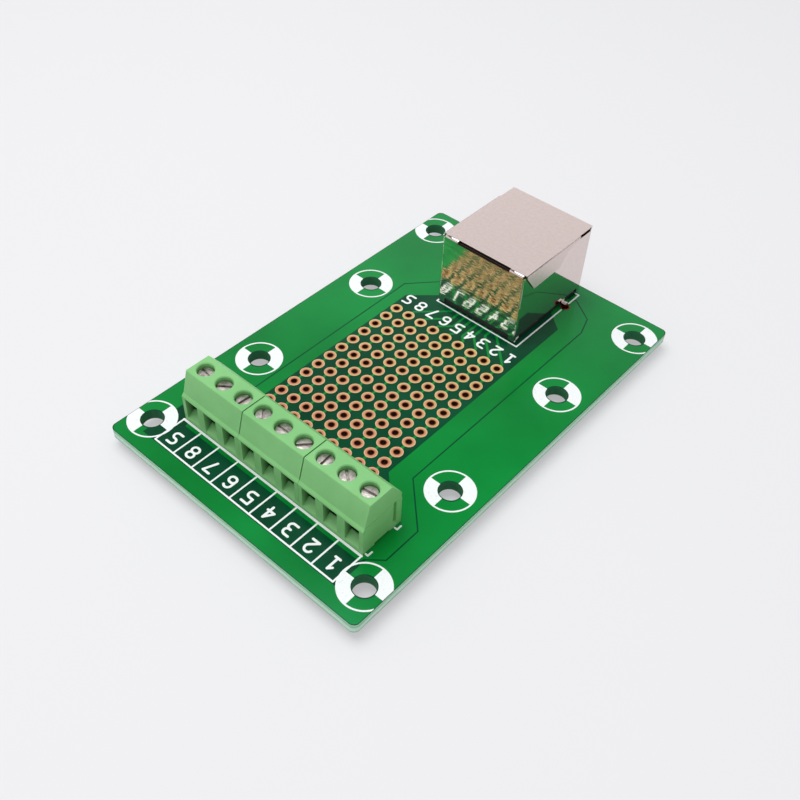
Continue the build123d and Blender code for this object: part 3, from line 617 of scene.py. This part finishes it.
def is_cut_or_shaded(face):
    """Whether a face of the sheet is a stamped edge or the lip over the slot under the lid, painted dark as
    shade.
    """
    out = abs(face.center.x - shield_middle.x)
    below_lid = shield_high.z - face.center.z
    in_flap = out > flap_outer - flap_thickness * 0.75
    flap_edge = in_flap and abs(face.normal.x) < 0.3 and face.normal.z < 0.6
    slot_lip_shade = out < lid_slot_half and face.normal.y < -0.9 and below_lid < 2 * sheet_thickness
    plate_top = face.normal.z > 0.9 and sheet_thickness < below_lid < 4 * sheet_thickness
    return flap_edge or slot_lip_shade or plate_top


def is_flap(face):
    """Whether a face is the outer face of one of the lid's two side flaps."""
    out = abs(face.center.x - shield_middle.x)
    on_flap = flap_outer - flap_thickness * 0.1 < out < flap_outer + flap_thickness * 0.1
    return on_flap and abs(face.normal.x) > 0.95


shield = edged_copy("jack_shield", "shield_sheet", sheet_edge)
# The first mask marks the stamped edges and the lip in the slot, which are painted dark as shade.
for name, test in (("cut_edge_and_shade", is_cut_or_shaded), ("flap", is_flap)):
    values = shield.data.attributes.new(name, "FLOAT", "FACE")
    for face in shield.data.polygons:
        values.data[face.index].value = 1.0 if test(face) else 0.0
dress(shield, shield_nickel)

# The jack's mouldings, black nylon: the housing with its port and pegs, and the contacts' carrier.
# They are seen in the port, in the slot under the lid and in the gap below the rear plate.
port_edge = 0.08 * mm
nylon_black = (0.011, 0.011, 0.012, 1)
nylon_grey = (0.02, 0.02, 0.021, 1)

black_nylon = clouded("black_nylon", (nylon_black, nylon_grey), span=(0.35, 0.7), cloud=(300, 3.0),
                      rough=(0.4, 0.55), relief=0.005 * mm, grain=(6000, 2.0))
for node, name in (("jack_housing", "port_moulding"), ("contact_carrier", "carrier_moulding")):
    dress(edged_copy(node, name, port_edge), black_nylon)

# Eight sprung contacts of gold plated bronze wire, from their tails in the board to the port.
# The wire is drawn, so it is smooth, with the plating a little thinner in places.
contact_count = 8
gold_full = (0.86, 0.58, 0.2, 1)
gold_thin = (0.74, 0.47, 0.19, 1)

gold_wire = clouded("gold_wire", (gold_thin, gold_full), span=(0.3, 0.6), cloud=(600, 3.0),
                    rough=(0.16, 0.3), relief=0.003 * mm, values=full_metal)
for number in range(1, contact_count + 1):
    finish_node(f"jack_contact_{number}", gold_wire)

# Solder under the board at every pin, tail and tab: bright tin that has run up the metal.
# It is a little grainy where it cooled.
solder_light = (0.8, 0.8, 0.81, 1)
solder_grey = (0.5, 0.51, 0.53, 1)

bright_solder = clouded("bright_solder", (solder_grey, solder_light), span=(0.3, 0.6), cloud=(2000, 4.0),
                        rough=(0.18, 0.34), relief=0.012 * mm, values=full_metal)
finish_node("solder_joints", bright_solder)

# The pale table top that the board stands on, plain and matt.
# Half of what the eye and the mirrors see of it is its own colour, free of shade.
floor_level = cad_box[0].z
floor_size = 6
floor_pale = (0.835, 0.83, 0.845, 1)
floor_pale_cool = (0.815, 0.815, 0.83, 1)
floor_roughness = 0.8
floor_specular = 0.1
floor_share = 0.5


def eye_rays(tree):
    """One for camera, glossy and transmission rays, and nought for light that falls on the object."""
    rays = add_node(tree, "ShaderNodeLightPath")
    eye = figure(tree, "MAXIMUM", rays.outputs["Is Camera Ray"], rays.outputs["Is Glossy Ray"])
    return figure(tree, "MAXIMUM", eye, rays.outputs["Is Transmission Ray"])


bpy.ops.mesh.primitive_plane_add(size=floor_size, location=(0, 0, floor_level))
floor = bpy.context.object
floor.name = "table_top"
table_white, tree, shader = new_material("table_white")
place = object_place(tree)
floor_colour = between(tree, noise(tree, place, 3), floor_pale_cool, floor_pale, 0.3, 0.7)
tree.links.new(floor_colour, shader.inputs["Base Color"])
shader.inputs["Roughness"].default_value = floor_roughness
shader.inputs["Specular IOR Level"].default_value = floor_specular
glow = add_node(tree, "ShaderNodeEmission", {"Strength": 1.0})
tree.links.new(floor_colour, glow.inputs["Color"])
part_glow = add_node(tree, "ShaderNodeMixShader")
tree.links.new(figure(tree, "MULTIPLY", eye_rays(tree), floor_share), part_glow.inputs["Fac"])
tree.links.new(shader.outputs["BSDF"], part_glow.inputs[1])
tree.links.new(glow.outputs["Emission"], part_glow.inputs[2])
tree.links.new(part_glow.outputs["Shader"], tree.nodes["Material Output"].inputs["Surface"])
floor.data.materials.append(table_white)

# Light: a pale room that is a little brighter on the left, and one wide soft lamp overhead.
# The room as mirrors see it is white up to the height of the walls, with a dim ceiling.
room_tint = (0.97, 0.98, 1.0, 1)
room_level = 0.64
room_lean = -0.25
wall_seen = (0.93, 0.93, 0.93, 1)
ceiling_seen = (0.16, 0.16, 0.17, 1)
wall_top = 0.62
ceiling_start = 0.75
lamp_power = 1.0
lamp_place = Vector((-0.08, -0.02, 0.4))
lamp_size = 0.3

world = bpy.data.worlds.new("room")
bpy.context.scene.world = world
world.use_nodes = True
tree = world.node_tree
heading = split(tree, object_place(tree))
room = tree.nodes["Background"]
room.inputs["Color"].default_value = room_tint
lean = figure(tree, "ADD", figure(tree, "MULTIPLY", heading["X"], room_lean), 1.0)
tree.links.new(figure(tree, "MULTIPLY", lean, room_level), room.inputs["Strength"])
seen = add_node(tree, "ShaderNodeBackground", {"Strength": 1.0})
ceiling = between(tree, heading["Z"], wall_seen, ceiling_seen, wall_top, ceiling_start)
tree.links.new(ceiling, seen.inputs["Color"])
blend = add_node(tree, "ShaderNodeMixShader")
tree.links.new(eye_rays(tree), blend.inputs["Fac"])
tree.links.new(room.outputs["Background"], blend.inputs[1])
tree.links.new(seen.outputs["Background"], blend.inputs[2])
tree.links.new(blend.outputs["Shader"], tree.nodes["World Output"].inputs["Surface"])

lamp_data = bpy.data.lights.new("soft_lamp", "AREA")
lamp_data.shape = "DISK"
lamp_data.size = lamp_size
lamp_data.energy = lamp_power
lamp = bpy.data.objects.new("soft_lamp", lamp_data)
bpy.context.collection.objects.link(lamp)
lamp.location = lamp_place
lamp.rotation_mode = "QUATERNION"
lamp.rotation_quaternion = (-lamp_place).to_track_quat("-Z", "Y")

# The camera stands to the right of the terminals, 46 degrees up, and is tipped a little to one side.
aim = Vector((2.557, -4.358, 1.6)) * mm
camera_distance = 139.33 * mm
camera_azimuth = math.radians(39.374)
camera_elevation = math.radians(45.833)
camera_roll = math.radians(2.91)
focal_pixels = 954.94
picture_pixels = 800
sensor = 36.0
nearest_seen = 0.01

back = Vector((math.sin(camera_azimuth) * math.cos(camera_elevation),
               -math.cos(camera_azimuth) * math.cos(camera_elevation),
               math.sin(camera_elevation)))
camera_data = bpy.data.cameras.new("camera")
camera_data.sensor_width = sensor
camera_data.lens = sensor * focal_pixels / picture_pixels
camera_data.clip_start = nearest_seen
camera = bpy.data.objects.new("camera", camera_data)
bpy.context.collection.objects.link(camera)
camera.location = aim + back * camera_distance
camera.rotation_mode = "QUATERNION"
camera.rotation_quaternion = (-back).to_track_quat("-Z", "Y") @ Quaternion((0, 0, 1), camera_roll)
bpy.context.scene.camera = camera
bpy.context.scene.view_settings.view_transform = "Standard"
